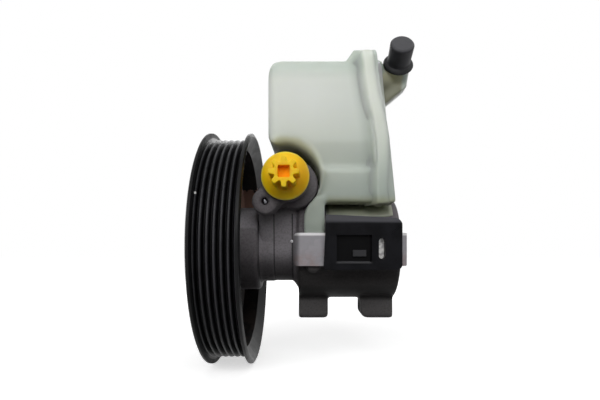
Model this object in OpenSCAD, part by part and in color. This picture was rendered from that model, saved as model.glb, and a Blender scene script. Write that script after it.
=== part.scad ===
// Power steering pump: belt pulley, vane pump, flow valve and a strapped-on oil reservoir.
// Millimetres. +X runs along the shaft from the pulley to the rear, +Z is up.
// The origin is on the shaft axis, in the middle plane of the belt grooves.

/* [Pulley] */
// Belt grooves round the rim
groove_count = 6; // [5:1:7]
// Distance between neighbouring grooves
groove_pitch = 3.56; // [3.4:0.02:3.7]
// Included angle of a groove
groove_angle = 40; // [38:1:44]
// Outside diameter over the ribs
rib_d = 135; // [128:0.5:140]
// Width of a rib's flat tip
rib_tip = 0.9; // [0.7:0.1:1.1]
// Height of the guard flanges over the ribs
flange_h = 4; // [3:0.25:5]
// Rim width beside the outer grooves, each side
rim_edge = 2.7; // [2.5:0.1:3.2]
// Metal under the groove roots
rim_wall = 3; // [2.6:0.1:4]
// Length of the flared mouth at the rear
rim_flare = 5; // [3:0.25:6]
// Thickness of the web
web_t = 4; // [3:0.25:4.5]
// Access windows in the web
window_count = 3; // [3:1:4]
// Diameter of an access window
window_d = 19; // [16:0.5:20]
// Radius on which the windows lie
window_r = 38.5; // [37:0.5:42]

/* [Hub] */
// Diameter of the hub's barrel
hub_d = 26; // [25:0.5:27]
// Diameter of the hub's flange
hub_flange_d = 50; // [48:0.5:52]
// Thickness of the hub's flange
hub_flange_t = 4.5; // [4:0.1:5]
// Pulley bolts
bolt_count = 3; // [3:1:4]
// Bolt circle diameter
bolt_pcd = 38; // [37:0.5:38.5]
// Bolt thread diameter
bolt_d = 6; // [5:0.5:6]
// Width of a bolt head across its flats
bolt_flats = 10; // [9:0.5:10]

/* [Bearing and shaft] */
// Bearing outside diameter
bearing_d = 40; // [39:0.5:41]
// Bearing bore
bearing_bore = 17; // [16.6:0.1:17.4]
// Bearing width
bearing_w = 12; // [11:0.25:12]
// Ball diameter
ball_d = 6.6; // [6:0.1:6.8]
// Balls in the bearing
ball_count = 8; // [6:1:9]
// Shaft diameter under the seal
seal_shaft_d = 16; // [15.6:0.1:16.4]
// Outside diameter of the shaft seal
seal_d = 30; // [28:0.5:32]
// Width of the shaft seal
seal_w = 7; // [6:0.25:8]
// Shaft diameter in the front bush
bush_shaft_d = 15; // [14.6:0.1:15.4]
// Shaft diameter in the rear bush
tail_d = 12; // [11:0.1:12.4]

/* [Housing] */
// Diameter of the nose round the bearing
nose_d = 52; // [50:0.5:54]
// Diameter of the neck behind the nose
neck_d = 41.4; // [40:0.2:43]
// Diameter of the barrel
barrel_d = 62; // [61:0.25:62.2]
// Front face of the nose
nose_x = 2.2; // [2:0.1:2.4]
// Rear end of the nose
nose_end_x = 16.6; // [16.5:0.1:17.5]
// Front shoulder of the barrel
barrel_x = 40.4; // [40:0.1:41]
// Length of the barrel
barrel_l = 59.6; // [59.4:0.1:60.5]
// Diameter of the pump cavity
cavity_d = 50.8; // [50:0.1:52]
// Diameter of the stop pins for the reservoir legs
stop_d = 8.2; // [7:0.1:9]

/* [Mounting lugs] */
// Diameter of the through hole for the fixing bolt
lug_hole_d = 8.4; // [8.2:0.1:8.6]
// Depth of the hole's axis below the shaft
lug_drop = 36.8; // [36.4:0.1:37.2]
// Depth of the lugs' feet below the shaft
lug_foot = 43.4; // [43:0.1:45]
// Width of a lug
lug_w = 18; // [16:0.25:20]
// Length of the front lug
front_lug_l = 18.2; // [15:0.1:19]
// Length of the rear lug
rear_lug_l = 20; // [16:0.25:21]

/* [Pumping group] */
// Thickness of the front port plate
front_plate_t = 7.5; // [7:0.1:8]
// Width of the cam ring
cam_w = 18; // [17:0.25:18.5]
// Outside diameter of the cam ring
cam_d = 46.6; // [46:0.1:48]
// Lift of the cam ring on each side
cam_lift = 2.3; // [1.5:0.1:2.6]
// Diameter of the rotor
rotor_d = 34; // [33:0.1:34.4]
// Vanes in the rotor
vane_count = 10; // [8:1:10]
// Thickness of a vane
vane_t = 1.8; // [1.5:0.1:2]
// Height of a vane
vane_h = 7.4; // [6.5:0.1:7.8]
// Thickness of the rear port plate
rear_plate_t = 7; // [6.5:0.1:7.4]
// Thickness of the end cover
cover_t = 9; // [8:0.1:9.2]
// Diameter of the dowel pins
dowel_d = 3; // [2.5:0.1:3.2]

/* [Flow valve] */
// Position of the valve axis along the shaft
valve_x = 33.8; // [33.4:0.1:34.2]
// Height of the valve axis over the shaft
valve_z = 39.8; // [39.4:0.1:40.2]
// Diameter of the valve boss
valve_boss_d = 26.4; // [26:0.1:27.4]
// Bore of the valve
valve_bore_d = 17; // [16:0.1:18]
// Near end of the valve boss
valve_near = 40; // [39:0.1:41]
// Far end of the valve boss
valve_far = 38; // [37:0.25:40]
// Length of the spool
spool_l = 26; // [24:0.25:27]
// Spring wire diameter
spring_wire = 1.6; // [1.2:0.1:1.8]
// Active turns of the spring
spring_turns = 5; // [4:1:6]
// Outside diameter of the outlet union
union_d = 22; // [21.4:0.1:22.6]
// Port diameter of the outlet union
port_d = 14.6; // [14:0.1:15.4]

/* [Transport plug and cap] */
// Diameter of the plug's disc
plug_d = 26.6; // [25:0.1:27]
// Thickness of the disc's edge
plug_edge = 1.6; // [1.2:0.1:2.2]
// Height of the disc's dome
plug_dome = 3.4; // [2.4:0.1:4]
// Height of the gripping knob over the dome
knob_h = 11.6; // [9:0.1:13]
// Ribs round the knob
knob_ribs = 8; // [6:1:9]
// Width of the knob over its ribs
knob_d = 16; // [15:0.1:17]
// Width of the square socket in the knob
socket_w = 6.2; // [5:0.1:6.6]
// Outside diameter of the cap's sleeve
cap_d = 14; // [13.8:0.1:14.6]
// Height of the cap
cap_h = 16; // [15.6:0.1:18]
// Diameter of the cap's foot ring
cap_ring_d = 18; // [17:0.1:18.4]

/* [Small boss] */
// Diameter of the boss on the closed passage
boss_d = 14.4; // [13:0.1:14.6]
// Diameter of the closed passage
passage_d = 4; // [3.4:0.1:4.4]

/* [Reservoir] */
// Left end of the reservoir
tank_x = 23.2; // [22.8:0.1:24]
// Top of the reservoir
tank_top = 109; // [106:0.1:112]
// Lower edge of the skirts
tank_low = 25.6; // [24:0.1:26]
// How far the reservoir's sides stand out past the barrel
tank_side = 3.5; // [3.2:0.1:4.2]
// Wall thickness
tank_wall = 2.4; // [2:0.1:2.8]
// Lean of the welded seam from upright
seam_lean = 5.6; // [5:0.1:6]
// Thickness of the welded flange, each half
seam_t = 3.9; // [3:0.1:4.4]
// How far the welded flange stands out
seam_out = 2.8; // [2:0.1:3.4]
// Clear radius round the valve boss
tank_notch_r = 19.5; // [19:0.1:20.5]
// Width of a reservoir leg
leg_w = 12; // [11:0.1:12.6]
// Upward lean of the return spigot
return_lift = 27; // [22:0.5:32]
// Outside diameter of the return spigot
return_d = 11.4; // [10.8:0.1:11.8]

/* [Strap and clip] */
// Height of the strap
strap_h = 18.6; // [17:0.1:19]
// Thickness of the strap
strap_t = 2.4; // [2:0.1:2.6]
// Length of the clip
clip_l = 41.8; // [41:0.1:43]
// Height of the clip
clip_h = 30.6; // [29:0.1:32]
// How far the clip stands out from the strap
clip_out = 5.4; // [4.6:0.1:6]
// Wall thickness of the clip
clip_wall = 1.8; // [1.5:0.1:2.2]

/* [Hidden] */
$fn = 64;
vane_names = [for (i = [1:vane_count]) str("vane_", i)];

// Clearances and small common sizes
run_gap = 0.05;
end_gap = 0.03;
slip_gap = 0.1;
seat_gap = 0.2;
over = 1;
edge = 1.2;
ring_cord = 1.6;

// Pulley stations and radii
rim_w = groove_count * groove_pitch + 2 * rim_edge;
rim_half = rim_w / 2;
ribs_half = groove_count * groove_pitch / 2;
groove_root = 0.5;
groove_mouth = groove_pitch - rib_tip;
groove_depth = (groove_mouth - groove_root) / 2 / tan(groove_angle / 2);
rib_r = rib_d / 2;
root_r = rib_r - groove_depth;
rim_r = root_r - rim_wall;
flange_r = rib_r + flange_h;
flange_bevel = 0.8;
flange_shoulder = 1.6;
rim_face = 2.2;
flange_land = 1.4;
web_recess = 4.2;
web_x = -rim_half + web_recess;
web_back = web_x + web_t;
web_fillet = 3;

// Hub, bearing and shaft stations
hub_x = web_x - 1.5;
hub_back = web_back + hub_flange_t;
hub_nose_r = 11;
hub_step = 1;
bolt_head = 5;
bolt_tip = 1;
bolt_skirt = 1.6;
bolt_turn = 0;
clip_lip = 0.6;
clip_t = 1.6;
clip_groove = 1.2;
ring_in = 2.4;
ring_gap = 8;
bearing_x = nose_x + clip_lip + clip_t;
bearing_back = bearing_x + bearing_w;
bearing_mid = bearing_x + bearing_w / 2;
shaft_r = bearing_bore / 2;
race_t = 3.4;
ball_r = ball_d / 2;
ball_pitch_r = (bearing_bore + bearing_d) / 4;
cage_t = 2.1;
cage_w = ball_d + 1.4;
pocket_gap = 0.15;
seal_x = bearing_back + 1.2;
seal_back = seal_x + seal_w;
seal_wall = 1.5;
lip_r = seal_shaft_d / 2;
lip_back = 2;
lip_front = 1.2;
shaft_way_r = 9.2;
hub_proud = 0.5;
tail_out = 1.6;
centre_r = 4.4;
centre_depth = 5;
bush_t = 2;
bush_l = 10.5;
tail_bush_t = 1.6;

// Pump stations
barrel_r = barrel_d / 2;
barrel_end = barrel_x + barrel_l;
cavity_r = cavity_d / 2;
plate_r = cavity_r - slip_gap;
cover_set = 3;
spring_h = 3;
plate_x = barrel_end - cover_set - cover_t - spring_h - rear_plate_t - cam_w - front_plate_t;
cam_x = plate_x + front_plate_t;
rear_x = cam_x + cam_w;
rear_back = rear_x + rear_plate_t;
disc_out = 21.2;
disc_in = 11;
cord_land = 3;
cord_room = 2.4;
cover_dish_r = 16;
cover_dish = 2;
cover_bay_r = 10;
cover_x = rear_back + spring_h;
cover_back = cover_x + cover_t;
rotor_r = rotor_d / 2;
cam_minor = rotor_r + 0.2;
rotor_w = cam_w - 2 * end_gap;
slot_t = vane_t + 0.06;
slot_floor = rotor_r - vane_h - 0.5;
slot_root_r = 1.3;
spline_r = 6.6;
spline_out = 7.4;
spline_keys = 8;
spline_w = 2;
snap_r = 8.6;
snap_t = 1.2;
snap_room_r = 9.4;
snap_room = 2;
dowel_r = 20.8;
dowel_in = 5;
dowel_start = 2;
port_in = 2.4;
port_w = 3.4;
port_sweep = 46;
front_port_turn = 22;
rear_port_turn = 112;
snap_gap = 3;
wire_d = 2;
wire_gap = 6;
neck_groove = 0.8;
neck_step = 0.4;
neck_seam_x = 26;
neck_end_x = 36.9;
cone_r = 25.4;
inlet_x = 70;
inlet_boss_r = 13;
inlet_bore_r = 9.05;
inlet_top = barrel_r + 2.8;
inlet_root = 4;
boss_at = [22.1, 26.4];
boss_end = 38;
boss_web = 36;
boss_way = 6;
ball_in = 2.3;
ball_mouth = 0.7;
neck_half = 20;
neck_foot = [37.3, 12];
neck_foot_r = 10;
flank_half = 27;
flank_r = 14.5;
collar_y = 13;
collar_gap = 0.35;
flank_shift = [3.6, -2.4];
pressure_way_r = 3;
pressure_way_in = 8;
link_way_r = 1.5;
lug_round = 3;
stop_x = 49.1;
stop_z = -9.5;
leg_gap = 0.3;
leg_t = 2.6;
strap_in = barrel_r + leg_gap + leg_t + seat_gap;
stop_end = strap_in - 0.5;

// Valve stations, counted along Y
union_l = 13;
port_depth = 10.5;
union_way_r = 4;
spool_r = valve_bore_d / 2 - run_gap;
spool_y = -valve_near + union_l + run_gap;
spool_back = spool_y + spool_l;
spool_waist_r = 6;
spool_nose = 3;
spool_land = 10;
spool_neck = 4;
spool_cup = 4;
spring_mid_r = 5;
end_plug_in = 12;
end_plug_y = valve_far - end_plug_in;
end_plug_flats = 19;
spring_seat = 1.5;
spring_seat_r = 6.4;
plug_flange = 2.4;
plug_flange_t = 2;
plug_hex = 6;

// Transport plug and cap
rib_h = 2.6;
rib_root = 2.2;
rib_end = 1.25;
plug_floor = 2.2;
plug_wall = 1.8;
cap_ring_t = 2.4;
cap_ring_r = 0.8;
cap_draft = 0.2;
cap_clear = 0.5;

// Reservoir, strap and clip stations
tank_half = barrel_r + tank_side;
seam_x = barrel_end - 8.1;
seam_top = tank_top + 4.7;
gusset_x = seam_x - 19.7;
gusset_mid = 27;
gusset_w = 12;
gusset_ramp = 3.6;
gusset_l = 8;
dome_out = 4.6;
dome_half = 22;
pan_depth = 6.6;
pan_knee = 62;
pan_top = 94;
pan_in = 0.5;
pan_r = 3;
dome_l = 80;
notch_low = 58.8;
notch_fillet = 6;
notch_inset = 4;
leg_x = barrel_x + 3.5;
leg_bend_r = 12;
leg_bend_x = leg_x + leg_bend_r;
leg_bite = 0.12;
leg_bend_z = valve_z - sqrt(pow(tank_notch_r + leg_bend_r - leg_bite, 2) - pow(leg_bend_x - valve_x, 2));
leg_meet_x = valve_x + (leg_bend_x - valve_x) * tank_notch_r / (tank_notch_r + leg_bend_r);
roof_r = 10;
end_r = 7;
side_r = 7;
crown_r = 11;
low_r = 3;
leg_root = 4;
far = 150;
ledge_rise = 16;
saddle_r = barrel_r + 3.2;
ledge_z = 44.5;
ledge_in = 2.2;
spigot_r = inlet_bore_r - slip_gap;
spigot_way_r = 6.4;
spigot_low = barrel_r - 3.4;
spigot_seal_z = barrel_r - 1;
return_foot = [seam_x + 8.5, -17, tank_top + 1.2];
return_root = 10;
elbow_at = return_foot + return_root * [0, cos(return_lift), -sin(return_lift)];
elbow_x = seam_x - 5.9;
elbow_r = 7.9;
elbow_root_r = 15.5;
elbow_end = 3;
elbow_tip = 6.2;
elbow_drop = 6.6;
elbow_slope = 40;
elbow_web = 13;
seam_way_x = seam_x - 11.9;
seam_way_r = 3.8;
return_collar = 1.5;
return_way_r = 4.4;
return_l = 14;
leg_low = stop_z + stop_d / 2 + slip_gap;
leg_step = strap_h / 2 + 0.6;
leg_taper = 2.4;
strap_out = strap_in + strap_t;
strap_x = barrel_x - strap_t - run_gap;
strap_back = barrel_end + run_gap + strap_t;
strap_bend = 4.5;
strap_low = -strap_h / 2 - 0.5;
strap_corner = 2.5;
hook_in = 28;
clip_x = barrel_x + 15.8;
clip_low = -11.7;
clip_face = strap_out + clip_out;
clip_top_drop = 2;
clip_bevel_h = 3.2;
clip_bevel_in = 2;
clip_flare = 1.4;
clip_mouth = 5;
hook_x = clip_x + 7.8;
hook_l = 28;
hook_lip = 1.4;
tooth_out = 1.4;
well = [clip_x + 5.9, -7.4, 19.2, 14.8];
well_depth = 3.2;
tooth = [clip_x + 14.8, -4.4, 7.4, 3.6];
sight_slot = [clip_x + 30.7, 0, 3.6, 11.4];

// Colours
black_paint = [0.07, 0.07, 0.075];
cast_grey = [0.42, 0.42, 0.43];
steel_grey = [0.62, 0.62, 0.64];
zinc_grey = [0.66, 0.66, 0.68];
bronze = [0.55, 0.42, 0.25];
rubber_black = [0.04, 0.04, 0.04];
milky = [0.80, 0.84, 0.79];
plug_yellow = [0.92, 0.70, 0.10];

// Moves what is drawn along +Z so that it runs along +X from x.
module on_x(x) translate([x, 0, 0]) rotate([0, 90, 0]) children();

// Draws an X-Z outline in the plane at y, with its thickness towards -Y.
module facing(y) translate([0, y, 0]) rotate([90, 0, 0]) children();

// Runs along +Y on the valve axis from y.
module on_valve(y) translate([valve_x, y, valve_z]) rotate([-90, 0, 0]) children();

// Runs along -Y, towards the outlet side, on the valve axis from y.
module out_of_valve(y) translate([valve_x, y, valve_z]) rotate([90, 0, 0]) children();

// Runs outwards along the return spigot from its foot.
module on_return() translate(return_foot) rotate([90 - return_lift, 0, 0]) children();

// Stands on the leaning seam: x crosses the seam, z runs up along it.
module on_seam() translate([seam_x, 0, 0]) rotate([0, -seam_lean, 0]) children();

// A plain ring round the shaft axis.
module ring(x, l, r_out, r_in) on_x(x) linear_extrude(l) difference() {
    circle(r_out);
    circle(r_in);
}

// A seal ring of round section round Z.
module cord_ring(r_mid, cord) rotate_extrude() translate([r_mid, 0]) circle(cord / 2);

// Corner of an outline: the two ends of its arc and the arc's centre.
function corner(p, q, n, r) = let (
        u = (p - q) / norm(p - q),
        v = (n - q) / norm(n - q),
        half = acos(u * v) / 2,
        m = (u + v) / norm(u + v)
    ) [q + u * r / tan(half), q + v * r / tan(half), q + m * r / sin(half)];

// A convex outline with a rounding of its own at each corner.
module rounded(points, radii) {
    last = len(points) - 1;
    bends = [for (i = [0:last])
        corner(points[i == 0 ? last : i - 1], points[i], points[i == last ? 0 : i + 1], radii[i])];
    polygon([for (i = [0:last]) each radii[i] > 0 ? [bends[i][0], bends[i][1]] : [points[i]]]);
    for (i = [0:last]) if (radii[i] > 0) translate(bends[i][2]) circle(radii[i]);
}

// A rectangle from its low corner, with one rounding all round.
module rounded_box(low, size, r) rounded(
    [low, [low[0] + size[0], low[1]], low + size, [low[0], low[1] + size[1]]], [r, r, r, r]);

// Two circles and the band between their outer tangents.
module tangent_band(a, ra, b, rb) {
    d = norm(b - a);
    u = (b - a) / d;
    s = (ra - rb) / d;
    c = sqrt(1 - s * s);
    n1 = [u[0] * s - u[1] * c, u[1] * s + u[0] * c];
    n2 = [u[0] * s + u[1] * c, u[1] * s - u[0] * c];
    translate(a) circle(ra);
    translate(b) circle(rb);
    polygon([a + ra * n1, b + rb * n1, b + rb * n2, a + ra * n2]);
}

// Drive end

function groove_points() = [for (i = [0:groove_count - 1])
    let (c = -ribs_half + groove_pitch * (i + 0.5)) each [
        [rib_r, c - groove_mouth / 2], [root_r, c - groove_root / 2],
        [root_r, c + groove_root / 2], [rib_r, c + groove_mouth / 2]]];

module pulley_section() polygon(concat(
    [[flange_r - flange_shoulder, -rim_half],
     [flange_r, -rim_half + flange_bevel],
     [flange_r, -rim_half + flange_bevel + flange_land],
     [rib_r, -ribs_half]],
    groove_points(),
    [[rib_r, ribs_half],
     [flange_r, rim_half - flange_bevel - flange_land],
     [flange_r, rim_half - flange_bevel],
     [flange_r - flange_shoulder, rim_half],
     [flange_r - rim_face, rim_half],
     [rim_r, rim_half - rim_flare],
     [rim_r, web_back + web_fillet],
     [rim_r - web_fillet, web_back],
     [hub_d / 2, web_back],
     [hub_d / 2, web_x],
     [rim_r, web_x],
     [flange_r - rim_face, -rim_half]]));

module pulley() color(black_paint) difference() {
    on_x(0) rotate_extrude($fn = 128) pulley_section();
    for (i = [0:window_count - 1])
        rotate([360 * i / window_count, 0, 0]) translate([0, 0, -window_r])
            on_x(web_x - over) cylinder(d = window_d, h = web_t + 2 * over);
    at_bolts() on_x(web_x - over) cylinder(d = bolt_d, h = web_t + 2 * over);
}

module at_bolts() for (i = [0:bolt_count - 1])
    rotate([bolt_turn + 360 * i / bolt_count, 0, 0]) translate([0, 0, bolt_pcd / 2]) children();

module pulley_hub() color(steel_grey) difference() {
    on_x(0) rotate_extrude() polygon([
        [shaft_r, hub_x], [hub_d / 2 - edge, hub_x], [hub_d / 2, hub_x + edge],
        [hub_d / 2, web_back], [hub_flange_d / 2, web_back], [hub_flange_d / 2, hub_back],
        [hub_d / 2, hub_back], [hub_d / 2, hub_step], [hub_nose_r, hub_step],
        [hub_nose_r, bearing_x], [shaft_r, bearing_x]]);
    at_bolts() on_x(web_back - over) cylinder(d = bolt_d, h = hub_flange_t + 2 * over);
}

module pulley_bolts() color(zinc_grey) at_bolts() {
    on_x(web_x) cylinder(d = bolt_d, h = hub_back + bolt_tip - web_x);
    on_x(web_x - edge) cylinder(d = bolt_flats + bolt_skirt, h = edge);
    on_x(web_x - bolt_head) cylinder(d = bolt_flats / cos(30), h = bolt_head - edge / 2, $fn = 6);
}

module spline_outline(gap) {
    circle(spline_r + gap);
    for (i = [0:spline_keys - 1]) rotate(360 * i / spline_keys)
        translate([0, -spline_w / 2 - gap]) square([spline_out + gap, spline_w + 2 * gap]);
}

module drive_shaft() color(steel_grey) {
    front = hub_x + hub_proud;
    step = bearing_back + seat_gap;
    waist = seal_back + 2 * over;
    tail = rear_back + tail_out;
    difference() {
        on_x(0) rotate_extrude() polygon([
            [0, front], [shaft_r - edge, front], [shaft_r, front + edge], [shaft_r, step],
            [seal_shaft_d / 2, step], [seal_shaft_d / 2, waist], [bush_shaft_d / 2, waist],
            [bush_shaft_d / 2, cam_x - over], [tail_d / 2, cam_x - over],
            [tail_d / 2, tail - edge], [tail_d / 2 - edge, tail], [0, tail]]);
        on_x(front - over) cylinder(r1 = centre_r, r2 = 0, h = centre_depth);
    }
    on_x(cam_x - over) linear_extrude(rotor_w + over + end_gap) difference() {
        spline_outline(0);
        circle(tail_d / 2 - over);
    }
}

module ball_track() on_x(bearing_mid) rotate_extrude()
    translate([ball_pitch_r, 0]) circle(ball_r + run_gap);

module bearing_outer_race() color(steel_grey) difference() {
    ring(bearing_x, bearing_w, bearing_d / 2, bearing_d / 2 - race_t);
    ball_track();
}

module bearing_inner_race() color(steel_grey) difference() {
    ring(bearing_x, bearing_w, shaft_r + race_t, shaft_r);
    ball_track();
}

module at_balls() for (i = [0:ball_count - 1])
    rotate([360 * i / ball_count, 0, 0]) translate([bearing_mid, 0, ball_pitch_r]) children();

module bearing_balls() color(zinc_grey) at_balls() sphere(r = ball_r);

module bearing_cage() color(bronze) difference() {
    ring(bearing_mid - cage_w / 2, cage_w, ball_pitch_r + cage_t / 2, ball_pitch_r - cage_t / 2);
    at_balls() sphere(r = ball_r + pocket_gap);
}

module bearing_retaining_ring() color(steel_grey) difference() {
    ring(nose_x + clip_lip + slip_gap, clip_t - slip_gap, bearing_d / 2 + edge - slip_gap,
        bearing_d / 2 - ring_in);
    on_x(nose_x) linear_extrude(clip_t + over)
        translate([0, -ring_gap / 2]) square([bearing_d, ring_gap]);
}

module shaft_seal() color(rubber_black) on_x(0) rotate_extrude() polygon([
    [seal_d / 2, seal_x], [seal_d / 2, seal_back], [seal_d / 2 - seal_wall, seal_back],
    [seal_d / 2 - seal_wall, seal_x + seal_wall], [lip_r + lip_back, seal_x + seal_wall],
    [lip_r + lip_back, seal_x + seal_w * 0.7],
    [lip_r + run_gap, seal_x + seal_w * 0.6], [lip_r + lip_front, seal_x]]);

module front_bush() color(bronze)
    ring(plate_x - bush_l, bush_l, bush_shaft_d / 2 + bush_t, bush_shaft_d / 2 + run_gap);

// Housing

module housing_turned() on_x(0) rotate_extrude($fn = 96) polygon([
    [0, nose_x], [nose_d / 2 - edge, nose_x], [nose_d / 2, nose_x + edge],
    [nose_d / 2, nose_end_x - edge], [nose_d / 2 - edge, nose_end_x], [neck_d / 2, nose_end_x],
    [neck_d / 2, neck_seam_x - neck_groove], [neck_d / 2 - neck_groove, neck_seam_x],
    [neck_d / 2 - neck_step, neck_seam_x + neck_groove], [neck_d / 2 - neck_step, neck_end_x],
    [cone_r, barrel_x], [barrel_r - edge, barrel_x], [barrel_r, barrel_x + edge],
    [barrel_r, barrel_end - edge], [barrel_r - edge, barrel_end], [0, barrel_end]]);

// The lugs stand under the barrel, square to the shaft, with rounded feet.
module lug(x, l, front_r, rear_r) intersection() {
    facing(lug_w / 2) linear_extrude(lug_w) rounded(
        [[x, -lug_foot], [x + l, -lug_foot], [x + l, 0], [x, 0]], [front_r, rear_r, 0, 0]);
    on_x(x) linear_extrude(l) rounded(
        [[lug_foot, -lug_w / 2], [lug_foot, lug_w / 2], [0, lug_w / 2], [0, -lug_w / 2]],
        [lug_round, lug_round, 0, 0]);
}

module lugs() {
    lug(barrel_x, front_lug_l, edge, 2 * edge);
    lug(barrel_end - rear_lug_l - edge, rear_lug_l, 4 * edge, edge);
}

module housing_bosses() {
    valve_at = [valve_x, valve_z];
    on_valve(-valve_near) cylinder(d = valve_boss_d, h = valve_near + valve_far);
    facing(neck_half) linear_extrude(2 * neck_half)
        tangent_band(valve_at + flank_shift, flank_r - 2, neck_foot, neck_foot_r);
    facing(flank_half) linear_extrude(2 * flank_half)
        translate(valve_at + flank_shift) circle(flank_r);
    facing(flank_half) linear_extrude(flank_half - collar_y)
        translate(valve_at) circle(tank_notch_r - collar_gap);
    facing(0) linear_extrude(boss_web)
        tangent_band(valve_at, valve_boss_d / 2 - 3, boss_at, boss_d / 2 - edge / 2);
    facing(0) linear_extrude(boss_end) translate(boss_at) circle(boss_d / 2);
    intersection() {
        translate([inlet_x, 0, cavity_r - inlet_root]) cylinder(r = inlet_boss_r, h = inlet_top);
        on_x(barrel_x) cylinder(r = inlet_top, h = barrel_l);
    }
    facing(stop_end) linear_extrude(2 * stop_end) translate([stop_x, stop_z]) circle(stop_d / 2);
}

// All that is bored out round the shaft axis.
module housing_bored() on_x(0) rotate_extrude($fn = 96) polygon([
    [0, nose_x - over], [bearing_d / 2, nose_x - over],
    [bearing_d / 2, nose_x + clip_lip], [bearing_d / 2 + clip_groove, nose_x + clip_lip],
    [bearing_d / 2 + clip_groove, bearing_x], [bearing_d / 2, bearing_x],
    [bearing_d / 2, bearing_back], [seal_d / 2, bearing_back], [seal_d / 2, seal_back],
    [shaft_way_r, seal_back], [shaft_way_r, plate_x - bush_l],
    [bush_shaft_d / 2 + bush_t, plate_x - bush_l], [bush_shaft_d / 2 + bush_t, plate_x],
    [cavity_r, plate_x], [cavity_r, cover_back], [cavity_r + wire_d / 2, cover_back],
    [cavity_r + wire_d / 2, cover_back + wire_d], [cavity_r, cover_back + wire_d],
    [cavity_r, barrel_end + over], [0, barrel_end + over]]);

module housing_drilled() {
    on_valve(-valve_near - over) cylinder(d = valve_bore_d, h = valve_near + valve_far + 2 * over);
    on_valve(-valve_near - over) cylinder(d = union_d, h = union_l + over);
    translate([0, 0, -lug_drop]) on_x(barrel_x - over)
        cylinder(d = lug_hole_d, h = barrel_l + 2 * over);
    translate([inlet_x, 0, cavity_r - inlet_root]) cylinder(r = inlet_bore_r, h = inlet_top);
    facing(boss_way) linear_extrude(boss_end + boss_way + over)
        translate(boss_at) circle(passage_d / 2);
    facing(edge - boss_end) linear_extrude(edge + over) translate(boss_at) circle(passage_d / 2 + ball_mouth);
    drilled_between([boss_at[0], 0, boss_at[1]], [valve_x, 0, valve_z], link_way_r);
    drilled_between([plate_x + over, 0, cavity_r - pressure_way_in], [valve_x, 0, valve_z], pressure_way_r);
}

// A straight drilling in the X-Z plane from a to b.
module drilled_between(a, b, r) translate(a)
    rotate([0, atan2(b[0] - a[0], b[2] - a[2]), 0]) cylinder(r = r, h = norm(b - a));

module pump_housing() color(cast_grey) difference() {
    union() {
        housing_turned();
        lugs();
        housing_bosses();
    }
    housing_bored();
    housing_drilled();
}

module passage_ball() color(steel_grey)
    translate([boss_at[0], ball_in - boss_end, boss_at[1]]) sphere(d = passage_d);

// Pumping group

module at_dowels() for (a = [0, 180]) rotate([a, 0, 0]) translate([0, 0, dowel_r]) children();

module kidney_ports(x, t, a) for (side = [0, 180])
    on_x(x - over) rotate([0, 0, side + a]) rotate_extrude(angle = port_sweep)
        translate([rotor_r - port_in, 0]) square([port_w, t + 2 * over]);

module front_plate() color(steel_grey) difference() {
    ring(plate_x, front_plate_t, plate_r, bush_shaft_d / 2 + slip_gap);
    kidney_ports(plate_x, front_plate_t, front_port_turn);
    at_dowels() on_x(plate_x + dowel_start) cylinder(d = dowel_d, h = front_plate_t);
}

module cam_ring() color(steel_grey) difference() {
    on_x(cam_x) linear_extrude(cam_w) difference() {
        circle(cam_d / 2, $fn = 96);
        for (side = [-1, 1]) translate([0, side * cam_lift]) circle(cam_minor, $fn = 96);
        square([2 * cam_minor, 2 * cam_lift], center = true);
    }
    at_dowels() on_x(cam_x - over) cylinder(d = dowel_d, h = cam_w + 2 * over);
}

module rotor() color(steel_grey) on_x(cam_x + end_gap) linear_extrude(rotor_w) difference() {
    circle(rotor_r, $fn = 96);
    spline_outline(end_gap);
    for (i = [0:vane_count - 1]) rotate(360 * (i + 0.5) / vane_count) {
        translate([slot_floor, -slot_t / 2]) square([rotor_r, slot_t]);
        translate([slot_floor, 0]) circle(slot_root_r, $fn = 24);
    }
}

module vane(i) color(zinc_grey) on_x(cam_x + 2 * end_gap) linear_extrude(cam_w - 4 * end_gap)
    rotate(360 * (i - 0.5) / vane_count) translate([rotor_r - vane_h - slip_gap, -vane_t / 2])
        square([vane_h, vane_t]);

module rotor_snap_ring() color(steel_grey) difference() {
    ring(rear_x, snap_t, snap_r, tail_d / 2);
    on_x(rear_x - over) linear_extrude(snap_t + 2 * over)
        translate([0, -snap_gap / 2]) square([snap_r + over, snap_gap]);
}

module rear_plate() color(steel_grey) difference() {
    ring(rear_x, rear_plate_t, plate_r, tail_d / 2 + tail_bush_t);
    on_x(rear_x - over) cylinder(r = snap_room_r, h = snap_room + over);
    kidney_ports(rear_x, rear_plate_t, rear_port_turn);
    at_dowels() on_x(rear_x - over) cylinder(d = dowel_d, h = dowel_in + over);
}

module rear_bush() color(bronze) ring(rear_x + snap_room, rear_plate_t - snap_room,
    tail_d / 2 + tail_bush_t, tail_d / 2 + run_gap);

module dowel_pins() color(steel_grey) at_dowels()
    on_x(plate_x + dowel_start) cylinder(d = dowel_d, h = rear_x + dowel_in - plate_x - dowel_start);

module disc_spring() color(steel_grey) on_x(0) rotate_extrude() polygon([
    [disc_out - edge, rear_back], [disc_out, rear_back], [disc_in + edge, cover_x], [disc_in, cover_x]]);

module end_cover() color(cast_grey) on_x(0) rotate_extrude($fn = 96) polygon([
    [0, cover_x + cover_dish], [cover_bay_r - over, cover_x + cover_dish], [cover_bay_r, cover_x],
    [plate_r, cover_x], [plate_r, cover_x + cord_land], [plate_r - ring_cord, cover_x + cord_land],
    [plate_r - ring_cord, cover_x + cord_land + cord_room], [plate_r, cover_x + cord_land + cord_room],
    [plate_r, cover_back], [cover_dish_r, cover_back], [cover_dish_r - cover_dish, cover_back - cover_dish],
    [0, cover_back - cover_dish]]);

module cover_seal() color(rubber_black) on_x(cover_x + cord_land + cord_room / 2)
    cord_ring(plate_r - ring_cord / 2, ring_cord);

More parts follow.
